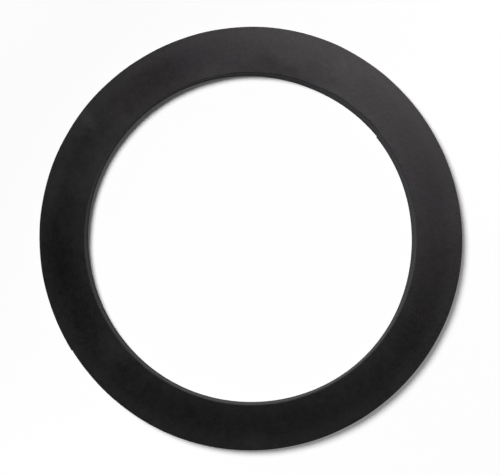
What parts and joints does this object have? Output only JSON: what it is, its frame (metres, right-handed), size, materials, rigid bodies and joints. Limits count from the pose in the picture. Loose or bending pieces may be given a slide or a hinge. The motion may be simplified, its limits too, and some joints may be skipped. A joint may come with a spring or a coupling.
{
  "type": "flange gasket",
  "caption": "Flat full-round rubber ring gasket with plain bore and rim, clamped between raised pipe-flange faces inside the bolt circle.",
  "frame": {"origin": "centre of the bore at the lower face", "axes": "+Z along the ring's axis, from the lower face to the upper face, where the knife went in; angles run from +X"},
  "size_m": [0.2794, 0.2794, 0.0063],
  "materials": {
    "rubber": "satin black moulded rubber sheet with a faint cloudy bloom, cut edges slightly smoother"
  },
  "bodies": {
    "root": {"gasket_ring": "rubber"}
  },
  "joints": []
}
